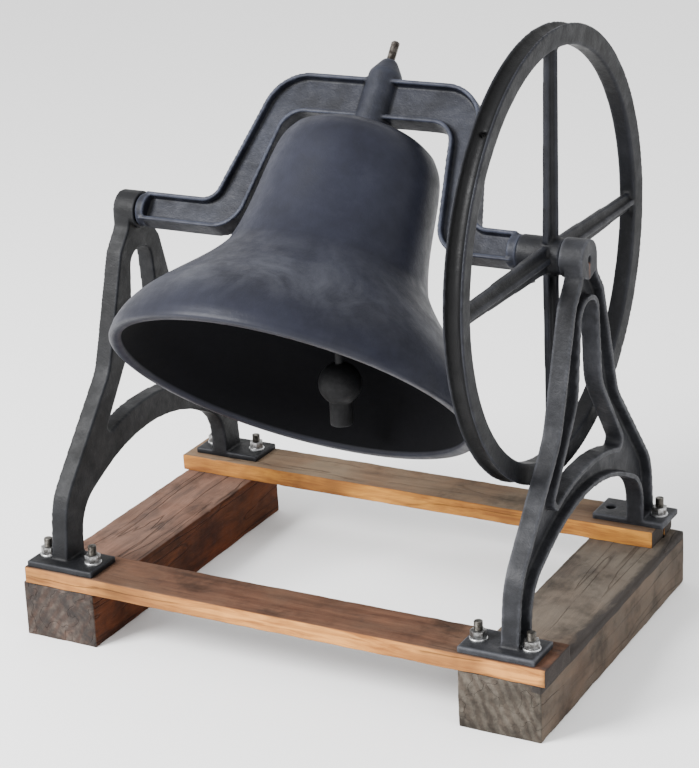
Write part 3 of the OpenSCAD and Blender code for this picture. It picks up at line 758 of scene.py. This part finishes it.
bmesh.ops.translate(shell, verts=shell.verts, vec=(0, 0, -bell_drop))
hang(shell)
bell = to_piece(shell, "bell_casting", 50)
mark_wear_and_shade(bell, 0.0)
flare = np.clip(1 - np.abs(heights - 0.26 * H) / (0.2 * H), 0, 1) * is_outer
write_mark(bell.data, "flare", flare)
rim = np.clip(1 - heights / 0.008, 0, 1) * np.clip(is_outer + (heights < 0.003), 0, 1)
write_mark(bell.data, "rim", rim)
# The inside of the bell is marked so that its colour is painted nearly black as painted shade.
inner = 1 - np.clip(is_outer + (heights < 0.003) + (heights > H - 0.005), 0, 1)
write_mark(bell.data, "inner", inner)

bell_iron = cast_material(
    "bell iron", bump=0.0006, Sheen=0.76, Dust=0.1, Grit=0.7, Mottle=0.4, Paint=(0.0076, 0.0084, 0.0145),
    Bare=(0.026, 0.029, 0.046))
tree = bell_iron.node_tree
shader = tree.nodes["Principled BSDF"]
under = shader.inputs["Base Color"].links[0].from_socket
place = add(tree, "ShaderNodeTexCoord").outputs["Object"]
haze = noise(tree, place, 11.0, 6.0, 0.62, distortion=0.8)
flare_mark = add(tree, "ShaderNodeAttribute", attribute_name="flare").outputs["Fac"]
rim_mark = add(tree, "ShaderNodeAttribute", attribute_name="rim").outputs["Fac"]
inside_shade_mark = add(tree, "ShaderNodeAttribute", attribute_name="inner").outputs["Fac"]
hazy = maths(tree, "MULTIPLY", flare_mark, ramp(tree, haze, (0.46, 0.0), (0.7, 0.8)), True)
coloured = mixed(tree, hazy, under, (0.050, 0.053, 0.066))
coloured = mixed(tree, maths(tree, "MULTIPLY", rim_mark, 0.2), coloured, (0.03, 0.03, 0.033))
# painted shade: the inside of the bell darkened nearly to black
coloured = mixed(tree, maths(tree, "MULTIPLY", inside_shade_mark, 0.9), coloured, (0.0012, 0.0012, 0.0013))
tree.links.new(coloured, shader.inputs["Base Color"])
matt = maths(
    tree, "MAXIMUM", shader.inputs["Roughness"].links[0].from_socket,
    maths(tree, "MULTIPLY", inside_shade_mark, 0.97))
tree.links.new(matt, shader.inputs["Roughness"])
shader.inputs["Specular IOR Level"].default_value = 0.16
finish_piece(bell, "swing", "bell_iron", bell_iron, "bell")


# ---------------------------------------------------------------- crown bolt
# A steel bolt holds the bell up to the yoke. Its bare threaded end stands out
# of the boss, and its eye inside the bell carries the clapper.

crown_steel = metal_material("crown bolt steel", (0.20, 0.185, 0.17), (0.05, 0.042, 0.036), 0.45)
inner_steel = metal_material("dull inner steel", (0.13, 0.13, 0.13), (0.04, 0.038, 0.035), 0.5)
boss_top, stud_length = 0.25605, 0.029
stud_top = boss_top + stud_length
stud = bmesh.new()
threaded_rod(stud, bolt_radius, boss_top - 0.004, stud_top - 0.0015, thread_pitch, Vector((0, 0, 0)))
tip = bmesh.ops.create_cone(stud, cap_ends=True, segments=32, radius1=0.0051, radius2=0.0043, depth=0.002)
bmesh.ops.translate(stud, verts=tip["verts"], vec=(0, 0, stud_top - 0.001))
hang(stud)
finish_piece(to_piece(stud, "crown_stud_thread"), "swing", "crown_bolt_steel", crown_steel)
eye = softened_copy("crown_bolt_eye", "crown_bolt", 0.0011, 2)
cutter = bmesh.new()
cutter.from_mesh(eye.data)
along = Vector((0, math.sin(lean), math.cos(lean)))
stop = Vector((bell_middle, 0, trunnion_height)) + along * (boss_top - 0.003)
cut = bmesh.ops.bisect_plane(
    cutter, geom=cutter.verts[:] + cutter.edges[:] + cutter.faces[:], dist=1e-7,
    plane_co=stop, plane_no=along, clear_outer=True)
rim_edges = [g for g in cut["geom_cut"] if isinstance(g, bmesh.types.BMEdge)]
bmesh.ops.edgenet_fill(cutter, edges=rim_edges)
cutter.to_mesh(eye.data)
cutter.free()
finish_piece(eye, "swing", "crown_bolt_steel", inner_steel, "crown_bolt")
for node in ("crown_washer", "crown_nut"):
    copy = softened_copy(node + "_worn", node, 0.0009, 2)
    finish_piece(copy, "swing", "inner_steel", inner_steel, node)


# ---------------------------------------------------------------- clapper
# The clapper hangs free on a pin through the bolt's eye: a forked rod with a
# cast ball and a thick tail below it. A split pin keeps the pin in.

clapper_iron = cast_material(
    "clapper iron", Sheen=0.5, Dust=0.1, Grit=0.8, Paint=(0.0034, 0.0034, 0.0040),
    Bare=(0.018, 0.019, 0.021))
for name, node in (("clapper_fork_and_rod", "clapper_arm"), ("clapper_ball_and_tail", "clapper_ball")):
    part = softened_copy(name, node, 0.0014, 3, 0.0006, 0.015)
    mark_wear_and_shade(part)
    finish_piece(part, "clapper", "clapper_iron", clapper_iron, node)
pin = softened_copy("clapper_pin_worn", "clapper_pin", 0.0008, 2)
finish_piece(pin, "clapper", "inner_steel", inner_steel, "clapper_pin")
cotter = softened_copy("clapper_split_pin", "clapper_cotter", 0.0004, 1)
split_pin_wire = metal_material("split pin wire", (0.4, 0.4, 0.41), (0.12, 0.11, 0.1), 0.4)
finish_piece(cotter, "clapper", "cotter_steel", split_pin_wire, "clapper_cotter")


# ---------------------------------------------------------------- surroundings
# A plain pale floor, a large soft light from the front left, a weaker one from
# the right, and a pale sky all round.

floor_mesh = bmesh.new()
bmesh.ops.create_grid(floor_mesh, x_segments=1, y_segments=1, size=14.0)
floor = to_piece(floor_mesh, "floor")
floor_paint = bpy.data.materials.new("pale floor")
nodes, links, shader = node_tree(floor_paint)
shader.inputs["Base Color"].default_value = (0.95, 0.95, 0.95, 1)
shader.inputs["Roughness"].default_value = 0.9
floor.data.materials.append(floor_paint)

world = bpy.data.worlds.new("pale sky")
bpy.context.scene.world = world
world.use_nodes = True
world.node_tree.nodes["Background"].inputs["Color"].default_value = (1.0, 1.0, 1.0, 1)
world.node_tree.nodes["Background"].inputs["Strength"].default_value = 1.5


def soft_light(name, spot, size, watts, target=(0.0, 0.0, 0.4)):
    """A square soft box aimed at the bell."""
    lamp = bpy.data.lights.new(name, "AREA")
    lamp.shape = "SQUARE"
    lamp.size = size
    lamp.energy = watts
    holder = bpy.data.objects.new(name, lamp)
    holder.location = spot
    holder.rotation_euler = (Vector(target) - Vector(spot)).to_track_quat("-Z", "Y").to_euler()
    bpy.context.scene.collection.objects.link(holder)


soft_light("key light", (-1.9, -2.6, 2.6), 1.6, 400)
soft_light("fill light", (2.8, -1.2, 1.6), 2.0, 30)

camera_spot = Vector((1.3935, -2.5727, 1.4182))
camera = bpy.data.cameras.new("camera")
camera.sensor_width = 36.0
camera.lens = 107.05
camera.clip_end = 60.0
holder = bpy.data.objects.new("camera", camera)
turn, rise, roll = math.radians(28.47), math.radians(20.28), math.radians(-2.34)
back = Vector((math.sin(turn) * math.cos(rise), -math.cos(turn) * math.cos(rise), math.sin(rise)))
right = Vector((math.cos(turn), math.sin(turn), 0))
up = back.cross(right)
level_right = math.cos(roll) * right + math.sin(roll) * up
level_up = -math.sin(roll) * right + math.cos(roll) * up
holder.matrix_world = Matrix((
    (level_right.x, level_up.x, back.x, camera_spot.x),
    (level_right.y, level_up.y, back.y, camera_spot.y),
    (level_right.z, level_up.z, back.z, camera_spot.z),
    (0, 0, 0, 1)))
bpy.context.scene.collection.objects.link(holder)
bpy.context.scene.camera = holder
